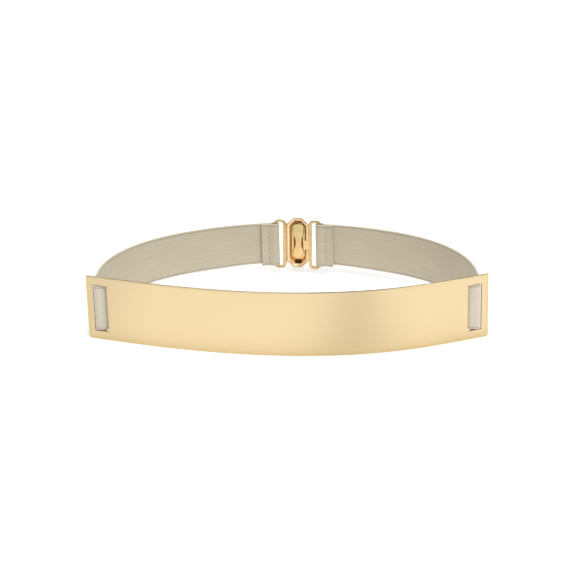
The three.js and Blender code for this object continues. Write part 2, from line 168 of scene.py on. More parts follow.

# Finish of the clasp, with painted shade and painted highlights by depth on its inside. Depths are measured
# from the frame's rim
rim_skin = 0.6  # of the light tone, in from the frame's outer sides
rim_fade = 0.2
facing_limits = (-0.25, -0.1)  # between a face on the outer side and one towards the wearer
tint_reach = 13.0  # up and down from the middle
deepest_tone = 3.5
dull_from = 0.9  # where the inside turns duller
dull_fade = 0.4
dull_most = 0.4  # added to its roughness
recess_fade = 0.3  # over which the inside loses its metal shine
recess_metal = 0.35  # what is left of that
frame_hole = (5.8, 3.2)  # width and height of a dark opening, which is painted shade on the frame's floor
frame_hole_drop = 17.3  # from the frame's middle down to the opening's
frame_hole_from = 1.6
frame_hole_fade = 0.4
# Depths and their tones: painted shade in the recesses and pockets, and painted highlights on the inner
# bevels
frame_depth_shading = [
    (0.0, (0.57, 0.42, 0.22)),
    (0.1, (0.63, 0.47, 0.26)),
    (0.2, (0.92, 0.74, 0.53)),
    (0.8, (0.90, 0.69, 0.46)),
    (1.05, (0.95, 0.62, 0.25)),
    (2.2, (0.93, 0.55, 0.18)),
    (3.5, (0.85, 0.45, 0.12)),
]
hook_depth_shading = [
    (0.0, (0.72, 0.55, 0.31)),
    (0.4, (0.70, 0.52, 0.27)),
    (0.68, (0.50, 0.31, 0.11)),
    (0.76, (0.68, 0.50, 0.28)),
    (0.84, (0.68, 0.50, 0.28)),
    (0.9, (0.84, 0.59, 0.28)),
    (1.0, (0.80, 0.54, 0.24)),
    (1.2, (0.50, 0.27, 0.08)),
    (2.2, (0.40, 0.20, 0.05)),
]

# Stitches across each clasp tab
stitch_pitch = 3.7
stitch_length = 3.3
stitch_thread = 0.42
stitch_from_fold = 8.6
stitch_margin = 3.4
thread_sides = 8
thread_rings = 7
thread_sink = 0.75  # shares of its thickness: how deep its ends lie in the cloth
thread_rise = 0.95  # and how far its middle rises from there
needle_hole = 0.5  # radius
needle_dip = 0.32

# Floor, and the soft, slightly darker bands of it in front, which the plate's polish mirrors.
# Side and front are where a band starts, depth is how much darker it is
floor_reach = 12.0  # metres, each way
floor_tones = (0.76, 0.78)
floor_glow = 0.26
floor_band_fade = 20.0
floor_bands = [
    {"side": 52, "front": -84, "slant": 0.27, "width": 41, "depth": 0.23},
    {"side": -158, "front": -50, "slant": -0.85, "width": 36, "depth": 0.16},
]

# Lights, in metres and watts
sky_strength = 0.3
lights = [
    {"name": "key", "place": (0.9, -0.9, 1.3), "target": (0, 0, 0), "size": (1.0, 1.0), "power": 14},
    {"name": "top", "place": (-0.2, 0.1, 1.7), "target": (0, 0, 0), "size": (1.8, 1.8), "power": 28},
    {"name": "front", "place": (0.7, -1.5, 1.3), "target": (0, 0, 0), "size": (1.8, 1.0), "power": 8},
    {"name": "fill", "place": (-1.2, -0.2, 0.9), "target": (0.1, 0, 0), "size": (0.8, 0.8), "power": 1.4},
]

# Camera, as it was fitted to the photograph
photo_width = 573  # pixels
focal_length = 1949  # pixels
sensor_width = 36.0
camera_yaw = math.radians(3.0628)
camera_pitch = math.radians(23)
camera_roll = math.radians(-1.466)
camera_stand = (72.4, -1350.9, 615.7)
camera_clip = (0.05, 50)  # metres

ribbed_half = strap_width / 2 - selvage_width
middle_height = plate_height / 2
window_height = strap_width + 2 * window_play
window_low = middle_height - window_height / 2
window_high = middle_height + window_height / 2
left_window = (window_margin, window_margin + window_width)
right_window = (plate_length - left_window[1], plate_length - left_window[0])
plate_windows = (left_window, right_window)
sides = {"left": -1, "right": 1}


# Plan of the plate


def turned(vector, angle):
    cosine, sine = math.cos(angle), math.sin(angle)
    return Vector((cosine * vector.x - sine * vector.y, sine * vector.x + cosine * vector.y))


def plate_curve(step=0.25, samples=41):
    """Stations, points and headings of the plate's outer face, with its bends softened."""
    stations = np.linspace(0, plate_length, round(plate_length / step) + 1)
    lengths = np.cumsum([0.0] + [length for length, _ in plate_bends]) * plate_length
    turns = np.cumsum([0.0] + [turn for _, turn in plate_bends]) * plate_turn
    half = plate_soften / 2
    shifts = np.linspace(-half, half, samples)
    headings = np.mean([np.interp(stations + shift, lengths, turns) for shift in shifts], axis=0)
    middle = (headings[1:] + headings[:-1]) / 2
    run = np.diff(stations)
    x = np.concatenate([[0], np.cumsum(run * np.cos(middle))])
    y = np.concatenate([[0], np.cumsum(run * np.sin(middle))])
    tilt = -math.atan2(y[-1], x[-1])
    chord = math.hypot(x[-1], y[-1])
    across = x * math.cos(tilt) - y * math.sin(tilt) - chord / 2
    deep = x * math.sin(tilt) + y * math.cos(tilt)
    return stations, across, deep, headings + tilt


plate_stations, plate_x, plate_y, plate_heading = plate_curve()
origin = Vector(((-front_low.x - front_high.x) / 2 / MM, plate_y.min() - front_low.y / MM))


def to_frame(x, y, z):
    return ((x - origin.x) * MM, (y - origin.y) * MM, z * MM)


def plate_at(along):
    """Point of the plate's outer face and its outward normal."""
    x = np.interp(along, plate_stations, plate_x)
    y = np.interp(along, plate_stations, plate_y)
    heading = np.interp(along, plate_stations, plate_heading)
    return Vector((x, y)), Vector((math.sin(heading), -math.cos(heading)))


# Ends and routes of the bands


def leaving(side):
    """The bar behind a window: where it stands, and how the band leaves it."""
    hand, lean = sides[side], band_lean[side]
    across, ahead = bar_width / 2 + seat_gap, bar_wall / 2 + seat_gap
    fold = ahead + strap_wall
    straight = across - ahead
    fold_depth = fold - fold_proud
    behind = max(0.0, fold_depth - plate_wall)
    aside = window_width / 2 - math.sqrt((fold + seat_gap) ** 2 - behind**2)
    bar_aside = aside - straight * math.cos(lean)
    bar_depth = fold_depth + straight * math.sin(lean)
    along = window_margin + window_width / 2
    window, outward = plate_at(along if hand < 0 else plate_length - along)
    heading = turned(-outward, -hand * lean)
    to_end = Vector((-outward.y, outward.x)) * hand
    bar = window - outward * bar_depth + to_end * bar_aside
    return {
        "window": window,
        "outward": outward,
        "heading": heading,
        "across": across,
        "ahead": ahead,
        "bar": bar,
        "to_end": to_end,
        "bar_aside": bar_aside,
        "bar_depth": bar_depth,
    }


clasp_right = Vector((math.cos(clasp_turn), math.sin(clasp_turn)))
clasp_centre = Vector((clasp_offset, clasp_reach))
ring_gap = {"left": 0.0, "right": seat_gap}


def arriving(side):
    """The bar of a clasp ring: where it stands, and how the band arrives at it."""
    hand = sides[side]
    distance = frame_width / 2 + ring_gap[side] + ring_length - ring_wire / 2
    away = clasp_right * hand
    return {
        "bar": clasp_centre + away * distance,
        "heading": turned(away, -hand * clasp_fall),
        "across": ring_wire / 2 + seat_gap,
        "ahead": ring_wire / 2 + clasp_fold_slack,
    }


class Route:
    """The inner face of a band in plan, measured along its length."""

    def __init__(self, side, fineness=600):
        self.hand = sides[side]
        start, finish = leaving(side), arriving(side)
        outer = Vector((start["heading"].y, -start["heading"].x)) * self.hand
        first = start["bar"] + outer * start["across"]
        last = finish["bar"]
        span = (last - first).length
        near, far = band_reach[side]
        handles = [first, first + start["heading"] * near * span, last + finish["heading"] * far * span, last]
        t = np.linspace(0, 1, fineness)[:, None]
        weights = [(1 - t) ** 3, 3 * t * (1 - t) ** 2, 3 * t**2 * (1 - t), t**3]
        self.points = sum(w * np.array(h) for w, h in zip(weights, handles))
        steps = np.linalg.norm(np.diff(self.points, axis=0), axis=1)
        self.at = np.concatenate([[0], np.cumsum(steps)])
        self.length = float(self.at[-1])
        self.seam = self.length - (stitch_from_fold - finish["ahead"] - strap_wall)
        tangents = np.gradient(self.points, self.at, axis=0)
        self.tangents = tangents / np.linalg.norm(tangents, axis=1)[:, None]

    def beside(self, along, out):
        inside = min(max(along, 0.0), self.length)
        point = Vector([np.interp(inside, self.at, self.points[:, k]) for k in (0, 1)])
        tangent = Vector([np.interp(inside, self.at, self.tangents[:, k]) for k in (0, 1)]).normalized()
        normal = Vector((tangent.y, -tangent.x)) * self.hand
        return point + tangent * (along - inside) + normal * out


def ease(share):
    return (1 + math.cos(math.pi * share)) / 2


def eye_line(eye, skin, merge_steps, corner_steps):
    """Half of a fold round a bar, "skin" off the hole: from its inner side to its outer side."""
    radius = min(eye["ahead"], eye["across"]) + skin
    ahead = eye["ahead"] + skin - radius
    inner = -eye["inner"] - skin + radius
    outer = eye["outer"] + skin - radius
    line = []
    for k in range(merge_steps, 0, -1):
        share = k / merge_steps
        line.append((share * eye["merge"], -skin - eye["inner"] * ease(share)))
    for k in range(corner_steps + 1):
        angle = math.pi / 2 * k / corner_steps
        line.append((-ahead - radius * math.sin(angle), inner - radius * math.cos(angle)))
    for k in range(corner_steps + 1):
        angle = math.pi / 2 * (1 - k / corner_steps)
        line.append((-ahead - radius * math.sin(angle), outer + radius * math.cos(angle)))
    for k in range(1, merge_steps + 1):
        share = k / merge_steps
        line.append((share * eye["merge"], skin + eye["outer"] * ease(share)))
    return line


def band_path(side, merge_steps=12, corner_steps=9, band_steps=150, tab_steps=8, far_tab_steps=36):
    """Middle of the band's thickness, from the cut end behind the plate to the one at the clasp.

    Beside the points it gives how far each lies past the seam of the clasp tab.
    """
    route = Route(side)
    start, finish = leaving(side), arriving(side)
    skin = strap_wall / 2
    near = {
        "ahead": start["ahead"],
        "across": start["across"],
        "inner": 2 * start["across"],
        "outer": 0.0,
        "merge": plate_merge,
    }
    far = {
        "ahead": finish["ahead"],
        "across": finish["across"],
        "inner": finish["across"],
        "outer": finish["across"],
        "merge": clasp_merge,
    }
    near_tab = plate_tab - near["ahead"] - strap_wall
    far_tab = clasp_tab - far["ahead"] - strap_wall
    line = []
    for k in range(tab_steps):
        line.append((near_tab + (near["merge"] - near_tab) * k / tab_steps, -skin))
    line += eye_line(near, skin, merge_steps, corner_steps)
    first, last = near["merge"], route.length - far["merge"]
    for k in range(1, band_steps):
        line.append((first + (last - first) * k / band_steps, skin))
    far_line = reversed(eye_line(far, skin, merge_steps, corner_steps))
    line += [(route.length - along, out) for along, out in far_line]
    for k in range(1, far_tab_steps + 1):
        share = k / far_tab_steps
        from_end = (far_tab - far["merge"]) * (1 - share)
        pressed = math.exp(-(((from_end - tab_press) / tab_press_width) ** 2))
        out = -skin - tab_lift * share**2 + tab_press_depth * pressed
        line.append((last - (far_tab - far["merge"]) * share, out))
    kept, stations = [], []
    for along, out in line:
        point = route.beside(along, out)
        if not kept or (point - kept[-1]).length > same_point:
            kept.append(point)
            stations.append(along)
    return np.array(kept), np.array(stations) - route.seam


# Meshes


def add_piece(name, vertices, faces, smooth=True):
    mesh = bpy.data.meshes.new(name)
    mesh.from_pydata([tuple(v) for v in vertices], [], faces)
    mesh.polygons.foreach_set("use_smooth", [smooth] * len(mesh.polygons))
    mesh.update()
    piece = bpy.data.objects.new(name, mesh)
    bpy.context.scene.collection.objects.link(piece)
    return piece


def close_mesh(piece):
    """Drops the points that no face uses, and turns every face outward."""
    work = bmesh.new()
    work.from_mesh(piece.data)
    loose = [vertex for vertex in work.verts if not vertex.link_faces]
    bmesh.ops.delete(work, geom=loose, context="VERTS")
    bmesh.ops.recalc_face_normals(work, faces=work.faces)
    work.to_mesh(piece.data)
    work.free()
    piece.data.update()


def add_attribute(piece, name, values):
    attribute = piece.data.attributes.new(name, "FLOAT", "POINT")
    attribute.data.foreach_set("value", values)


def ring_faces(rings, count, first=0):
    """Faces between rings of points that follow each other, each with the same count of points."""
    faces = []
    for low in range(first, first + (rings - 1) * count, count):
        high = low + count
        for j in range(count):
            k = (j + 1) % count
            faces.append((low + j, low + k, high + k, high + j))
    return faces


# Elastic bands


def band_half_section():
    """Rows across the band's width: height from its middle, and how deep the face lies there.

    A depth has a fixed share, for the round edges, and one that follows the ribs' relief.
    """
    half = strap_width / 2
    low_edge, ribs = [], []
    for k in range(edge_segments + 1):
        angle = math.pi / 2 * k / edge_segments
        height = -half + edge_round * (1 - math.cos(angle))
        low_edge.append((height, edge_round * (1 - math.sin(angle)), 0.0))
    low_edge.append((-half + (edge_round + selvage_width) / 2, 0.0, 0.0))
    low_edge.append((-ribbed_half - groove_side, 0.0, selvage_groove * groove_side_share))
    rib_rows = rib_count * rib_segments
    for k in range(rib_rows + 1):
        height = -ribbed_half + 2 * ribbed_half * k / rib_rows
        depth = rib_relief * (1 + math.cos(2 * math.pi * k / rib_segments)) / 2
        at_selvage = k in (0, rib_rows)
        ribs.append((height, 0.0, selvage_groove if at_selvage else depth))
    high_edge = [(-height, fixed, relief) for height, fixed, relief in reversed(low_edge)]
    return low_edge + ribs + high_edge


def rib_share(along):
    """How strongly the ribs stand out: fully where the band is stretched round the plate's bar."""
    calm = np.clip((along - rib_calm_from) / rib_calm_over, 0, 1)
    return 1 - (1 - rib_calm) * calm * calm * (3 - 2 * calm)


def pinch(along, length):
    """How far the band's lower edge is drawn up: most where the clasp tab's cut end lies on it."""
    cut_end = length - 2 * clasp_tab
    before = np.exp(-(((along - cut_end) / seam_pinch_reach) ** 2))
    after = np.clip(1 - (along - cut_end) / clasp_tab, 0, 1)
    return seam_pinch * np.where(along < cut_end, before, after)


def stitch_heights():
    """Heights of the threads' middles, from the band's middle."""
    count = int((strap_width - 2 * stitch_margin) / stitch_pitch) + 1
    return [(k - (count - 1) / 2) * stitch_pitch for k in range(count)]


def hole_depth(past_seam, height):
    """0 to 1: how deep a needle hole is at a place of the band."""
    holes = [middle + stitch_pitch / 2 for middle in stitch_heights()]
    holes.append(holes[0] - stitch_pitch)
    nearest = min(abs(height - hole) for hole in holes)
    return math.exp(-(past_seam**2 + nearest**2) / needle_hole**2)


def elastic_band(side):
    """A band with its folds: rings of points round its section, along its path."""
    path, past_seam = band_path(side)
    tangents = np.gradient(path, axis=0)
    tangents /= np.linalg.norm(tangents, axis=1)[:, None]
    normals = np.stack([tangents[:, 1], -tangents[:, 0]], axis=1) * sides[side]
    along = np.concatenate([[0], np.cumsum(np.linalg.norm(np.diff(path, axis=0), axis=1))])
    shares = rib_share(along)
    lifts = pinch(along, along[-1])
    rows = band_half_section()
    half_wall = strap_wall / 2 - layer_gap / 2
    loop = [(row, 1) for row in rows] + [(row, -1) for row in reversed(rows)]
    count = len(loop)
    vertices, holes = [], []
    for point, normal, share, lift, past in zip(path, normals, shares, lifts, past_seam):
        near_seam = abs(past) < 3 * needle_hole
        for (height, fixed, relief), face in loop:
            hole = hole_depth(past, height) if near_seam else 0.0
            holes.append(hole)
            spot = point + normal * face * (half_wall - fixed - relief * share - needle_dip * hole)
            raised = height + lift * (0.5 - height / strap_width)
            vertices.append(to_frame(spot[0], spot[1], middle_height + raised))
    faces = ring_faces(len(path), count)
    for base in (0, (len(path) - 1) * count):
        for j in range(count // 2 - 1):
            faces.append((base + j, base + j + 1, base + count - 2 - j, base + count - 1 - j))
    piece = add_piece(f"strap_{side}_elastic", vertices, faces)
    close_mesh(piece)
    add_attribute(piece, "ribs", np.repeat(shares, count))
    add_attribute(piece, "needle", holes)
    index = np.zeros(len(piece.data.loops), dtype=np.int64)
    piece.data.loops.foreach_get("vertex_index", index)
    heights = np.array([height for (height, _, _), _ in loop])
    uvs = np.stack([along[index // count], heights[index % count]], axis=1) * MM
    piece.data.uv_layers.new(name="weave").data.foreach_set("uv", uvs.ravel())
    return piece


def thread_run(name, spots, outward):
    """Short threads, each an arch that dips into the cloth at both ends. A spot is its middle."""
    aside = Vector((-outward.y, outward.x))
    radius = stitch_thread / 2
    vertices, faces, sunk = [], [], []
    for spot in spots:
        first = len(vertices)
        for i in range(thread_rings):
            share = i / (thread_rings - 1)
            rise = math.sin(math.pi * share)
            z = spot.z + (share - 0.5) * stitch_length
            out = (thread_rise * rise - thread_sink) * stitch_thread
            for j in range(thread_sides):
                angle = 2 * math.pi * j / thread_sides
                offset = outward * (out + radius * math.cos(angle)) + aside * radius * math.sin(angle)
                vertices.append(to_frame(spot.x + offset.x, spot.y + offset.y, z))
                sunk.append(1 - rise)
        last = len(vertices) - thread_sides
        faces += ring_faces(thread_rings, thread_sides, first)
        faces.append(tuple(range(first, first + thread_sides)))
        faces.append(tuple(reversed(range(last, last + thread_sides))))
    piece = add_piece(name, vertices, faces)
    close_mesh(piece)
    add_attribute(piece, "sunk", sunk)
    return piece


def stitches(side):
    """One seam across the clasp tab, with threads on its inner and outer face."""
    route = Route(side)
    outward = route.beside(route.seam, 1.0) - route.beside(route.seam, 0.0)
    made = []
    for face, way in {"inner": -1, "outer": 1}.items():
        spot = route.beside(route.seam, way * strap_wall)
        spots = [Vector((spot.x, spot.y, middle_height + height)) for height in stitch_heights()]
        made.append(thread_run(f"stitches_{side}_{face}", spots, outward * way))
    return made


# Front plate


def grid_lines(length, windows, spacing):
    """Lines over one direction of the plate's mesh: close together at its borders."""
    edge = [share * plate_edge_round for share in edge_shares]
    corner = [share * window_corner for share in corner_shares]
    border = [*edge, *roll_lines, plate_roll_width]
    lines = border + [length - step for step in border]
    for low, high in windows:
        lines += [low - step for step in edge] + [low + step for step in corner]
        lines += [high - step for step in corner] + [high + step for step in edge]
    lines = sorted(set(round(line, 5) for line in lines))
    full = [lines[0]]
    for line in lines[1:]:
        before = full[-1]
        gap = line - before
        parts = max(1, math.ceil(gap / spacing))
        full += [before + gap * k / parts for k in range(1, parts + 1)]
    return np.array(full)


def plate_corners():
    """Corners of the plate and of its windows, each with its ways inward and its radius."""
    outlines = [((0.0, plate_length), (0.0, plate_height), plate_low_corner, plate_high_corner)]
    for window in plate_windows:
        outlines.append((window, (window_low, window_high), window_corner, window_corner))
    for ends, (low_v, high_v), low_radius, high_radius in outlines:
        for corner_u, inward_u in zip(ends, (1, -1)):
            yield (corner_u, low_v), (inward_u, 1), low_radius
            yield (corner_u, high_v), (inward_u, -1), high_radius


def rounded_corner(u, v, corner, inward, radius):
    """Moves the points of a corner's square onto circles round the corner's arc centre."""
    centre_u = corner[0] + inward[0] * radius
    centre_v = corner[1] + inward[1] * radius
    du, dv = u - centre_u, v - centre_v
    reach = np.maximum(abs(du), abs(dv))
    in_quarter = (du * inward[0] <= line_slack) & (dv * inward[1] <= line_slack)
    near = in_quarter & (reach <= radius + line_slack)
    scale = np.where(near, reach / np.maximum(np.hypot(du, dv), line_slack), 1.0)
    return centre_u + du * scale, centre_v + dv * scale


def plate_depths(u, v):
    """How deep the front and the back lie, with the round edges and the rolled border."""
    outer_gap = np.minimum(np.minimum(u, plate_length - u), np.minimum(v, plate_height - v))
    gap = outer_gap
    for low_u, high_u in plate_windows:
        past_u = np.maximum(low_u - u, u - high_u)
        past_v = np.maximum(window_low - v, v - window_high)
        gap = np.minimum(gap, np.maximum(np.maximum(past_u, past_v), 0))
    r = plate_edge_round
    inside = np.clip(r - gap, 0, r)
    round_in = r - np.sqrt(r * r - inside * inside)
    roll = plate_roll * np.clip(1 - outer_gap / plate_roll_width, 0, 1) ** 2
    return round_in + roll, plate_wall + roll - round_in


def plate_faces(us, vs):
    """Faces of the front and the back, and of the cut edges between them."""

    def in_window(i, j):
        mid_u = (us[i] + us[i + 1]) / 2
        mid_v = (vs[j] + vs[j + 1]) / 2
        return window_low < mid_v < window_high and any(low < mid_u < high for low, high in plate_windows)

    columns, rows = len(us), len(vs)
    layer = columns * rows
    kept = {(i, j) for i in range(columns - 1) for j in range(rows - 1) if not in_window(i, j)}
    faces, edges = [], []
    for i, j in kept:
        a, b = i * rows + j, (i + 1) * rows + j
        faces.append((a, b, b + 1, a + 1))
        faces.append((layer + a, layer + a + 1, layer + b + 1, layer + b))
        neighbours = {
            (i, j - 1): (b, a),
            (i + 1, j): (b + 1, b),
            (i, j + 1): (a + 1, b + 1),
            (i - 1, j): (a, a + 1),
        }
        for neighbour, (p, q) in neighbours.items():
            if neighbour not in kept:
                edges.append((p, q, layer + q, layer + p))
    return faces + edges


def plate_tones(us, vs):
    """Shares of two painted shades: the deeper tone at the border, and the dark one on the cut edges."""
    u, v = us[:, None], vs[None, :]
    # painted shade: the deeper tone along the ends and lower edge
    border_gap = np.minimum(np.minimum(u, plate_length - u), v)
    painted_border_shade = np.clip(1 - border_gap / border_width, 0, 1)
    # painted shade on the top cut edge, darkest around dark_edge_middle, and on the windows' cut edges
    near_top = np.clip(1 - (plate_height - v) / plate_edge_round, 0, 1)
    darkest = np.exp(-(((u - dark_edge_middle) / dark_edge_reach) ** 4))
    edge_shade = near_top * (dark_edge_least + (1 - dark_edge_least) * darkest)
    on_v = (v > window_low - same_point) & (v < window_high + same_point)
    for (low_u, high_u), outer_u in ((left_window, left_window[0]), (right_window, right_window[1])):
        on_u = (u > low_u - same_point) & (u < high_u + same_point)
        window_shade = np.where(abs(u - outer_u) < same_point, window_side_dark, window_edge_dark)
        edge_shade = np.where(on_u & on_v, window_shade, edge_shade)
    return {"border": painted_border_shade, "painted_edge_shade": edge_shade}


def metal_plate():
    """The plate as a grid of points on its front and its back, without the windows' faces."""
    us = grid_lines(plate_length, plate_windows, spacing_along)
    vs = grid_lines(plate_height, [(window_low, window_high)], spacing_up)
    u, v = np.meshgrid(us, vs, indexing="ij")
    depths = plate_depths(u, v)
    for corner, inward, radius in plate_corners():
        u, v = rounded_corner(u, v, corner, inward, radius)
    vertices = []
    for depth in depths:
        for along, height, deep in zip(u.ravel(), v.ravel(), depth.ravel()):
            point, outward = plate_at(along)
            spot = point - outward * deep
            vertices.append(to_frame(spot.x, spot.y, height))
    piece = add_piece("front_plate_metal", vertices, plate_faces(us, vs))
    for name, tone in plate_tones(us, vs).items():
        add_attribute(piece, name, np.tile(tone.ravel(), 2))
    close_mesh(piece)
    return piece


def block_mesh(centre, axis_u, axis_v, size, radius, segments=4):
    """A block with rounded edges: axis_u and axis_v lie in the plan, the third is up."""
    half_u, half_v, half_z = (s / 2 for s in size)
    outline = []
    for k, (su, sv) in enumerate(((1, 1), (-1, 1), (-1, -1), (1, -1))):
        for n in range(segments + 1):
            angle = math.pi / 2 * (k + n / segments)
            outline.append((
                su * (half_u - radius) + radius * math.cos(angle),
                sv * (half_v - radius) + radius * math.sin(angle),
            ))
    levels = []
    for n in range(segments, -1, -1):
        angle = math.pi / 2 * n / segments
        levels.append((-half_z + radius * (1 - math.sin(angle)), radius * (1 - math.cos(angle))))
    rings = levels + [(-z, inset) for z, inset in reversed(levels)]
    vertices = []
    for z, inset in rings:
        shrink_u = (half_u - inset) / half_u
        shrink_v = (half_v - inset) / half_v
        for pu, pv in outline:
            spot = centre.xy + axis_u * (pu * shrink_u) + axis_v * (pv * shrink_v)
            vertices.append(to_frame(spot.x, spot.y, centre.z + z))
    count = len(outline)
    faces = ring_faces(len(rings), count)
    faces.append(tuple(reversed(range(count))))
    faces.append(tuple(range(len(vertices) - count, len(vertices))))
    return vertices, faces


def join_meshes(name, parts):
    vertices, faces = [], []
    for part_vertices, part_faces in parts:
        base = len(vertices)
        vertices += part_vertices
        faces += [tuple(base + i for i in face) for face in part_faces]
    piece = add_piece(name, vertices, faces)
    close_mesh(piece)
    return piece


def window_bar(side):
    """The hidden bar that a band folds round, with the two feet soldered to the plate."""
    spot = leaving(side)
    foot_start = window_height / 2 + seat_gap
    bar_size = (bar_width, bar_wall, 2 * (foot_start + foot_height))
    across = Vector((-spot["heading"].y, spot["heading"].x))
    middle = Vector((spot["bar"].x, spot["bar"].y, middle_height))
    parts = [block_mesh(middle, across, spot["heading"], bar_size, bar_round)]
    foot_in = plate_wall - foot_lap
    foot_depth = spot["bar_depth"] + foot_past - foot_in
    foot_size = (foot_width, foot_depth, foot_height)
    foot = spot["window"] - spot["outward"] * (foot_in + foot_depth / 2) + spot["to_end"] * spot["bar_aside"]
    for end in (-1, 1):
        place = Vector((foot.x, foot.y, middle_height + end * (foot_start + foot_height / 2)))
        parts.append(block_mesh(place, spot["to_end"], spot["outward"], foot_size, foot_round))
    return join_meshes(f"window_bar_{side}", parts)


# Materials


class Nodes:
    """Short calls for building a material's nodes."""

    def __init__(self, name):
        self.material = bpy.data.materials.new(name)
        self.material.use_nodes = True
        self.tree = self.material.node_tree
        self.shader = self.tree.nodes["Principled BSDF"]

    def add(self, kind, **values):
        node = self.tree.nodes.new(kind)
        for key, value in values.items():
            setattr(node, key, value)
        return node

    def link(self, output, socket):
        self.tree.links.new(output, socket)

    def fill(self, socket, value):
        """Gives a socket a colour, a number or the output of a node."""
        if isinstance(value, tuple):
            socket.default_value = (*value, 1)
        elif isinstance(value, (int, float)):
            socket.default_value = value
        else:
            self.link(value, socket)

    def surface(self, values):
        """Fills the shader's sockets by their names, and returns the material."""
        for name, value in values.items():
            self.fill(self.shader.inputs[name], value)
        return self.material

    def place(self):
        return self.add("ShaderNodeTexCoord").outputs["Object"]

    def attribute(self, name):
        return self.add("ShaderNodeAttribute", attribute_name=name).outputs["Fac"]

    def math(self, operation, a, b=0.0):
        node = self.add("ShaderNodeMath", operation=operation)
        self.fill(node.inputs[0], a)
        self.fill(node.inputs[1], b)
        return node.outputs[0]

    def product(self, shares):
        result = shares[0]
        for share in shares[1:]:
            result = self.math("MULTIPLY", result, share)
        return result

    def dot(self, vector, axis):
        node = self.add("ShaderNodeVectorMath", operation="DOT_PRODUCT")
        self.link(vector, node.inputs[0])
        node.inputs[1].default_value = axis
        return node.outputs["Value"]

    def noise(self, vector, scale=1.0, detail=2.0):
        node = self.add("ShaderNodeTexNoise")
        node.inputs["Scale"].default_value = scale
        node.inputs["Detail"].default_value = detail
        self.link(vector, node.inputs["Vector"])
        return node.outputs["Fac"]

    def stretched(self, vector, scale):
        node = self.add("ShaderNodeMapping")
        node.inputs["Scale"].default_value = scale
        self.link(vector, node.inputs["Vector"])
        return node.outputs["Vector"]

    def between(self, value, low, high, from_low=0.0, from_high=1.0):
        node = self.add("ShaderNodeMapRange")
        self.link(value, node.inputs["Value"])
        node.inputs["From Min"].default_value = from_low
        node.inputs["From Max"].default_value = from_high
        node.inputs["To Min"].default_value = low
        node.inputs["To Max"].default_value = high
        return node.outputs["Result"]

    def until(self, value, limit, fade):
        """1 up to a limit in millimetres, and down to 0 over the fade after it."""
        return self.between(value, 1.0, 0.0, limit * MM, (limit + fade) * MM)

    def beyond(self, value, limit, fade, most=1.0):
        """0 up to a limit in millimetres, and up to the most over the fade after it."""
        return self.between(value, 0.0, most, limit * MM, (limit + fade) * MM)

    def colours(self, value, stops):
        node = self.add("ShaderNodeValToRGB")
        ramp = node.color_ramp
        while len(ramp.elements) < len(stops):
            ramp.elements.new(0.5)
        for element, (position, colour) in zip(ramp.elements, stops):
            element.position = position
            element.color = (*colour, 1)
        self.link(value, node.inputs["Fac"])
        return node.outputs["Color"]

    def mix(self, factor, a, b, blend="MIX"):
        node = self.add("ShaderNodeMix", data_type="RGBA", blend_type=blend)
        for socket, value in ((node.inputs[0], factor), (node.inputs[6], a), (node.inputs[7], b)):
            self.fill(socket, value)
        return node.outputs[2]

    def bump(self, height, strength, distance):
        node = self.add("ShaderNodeBump")
        node.inputs["Strength"].default_value = strength
        node.inputs["Distance"].default_value = distance
        self.link(height, node.inputs["Height"])
        self.link(node.outputs["Normal"], self.shader.inputs["Normal"])


def plate_gold_finish():
    """Satin plating, a little cloudy, with painted shade: a deeper tone at the border and darker cut edges.
    """
    build = Nodes("plate_gold")
    cloud = build.noise(build.place(), scale=9.0, detail=1.0)
    polished = build.mix(cloud, (0.68, 0.538, 0.32), (0.705, 0.558, 0.335))
    # painted shade: a deeper tone along the plate's ends and lower edge, for its rolled border's darker
    # reflections
    border = build.between(build.attribute("border"), 0.0, 0.85)
    border_shaded = build.mix(border, polished, (0.64, 0.49, 0.23))
    # painted shade: dark cut edges, darkest on the top edge and on each window's outer side
    painted_edge_shade = build.attribute("painted_edge_shade")
    return build.surface({
        "Base Color": build.mix(painted_edge_shade, border_shaded, (0.11, 0.065, 0.025)),
        "Roughness": build.between(cloud, 0.24, 0.28),
        "Metallic": build.between(painted_edge_shade, 1.0, 0.3),
    })


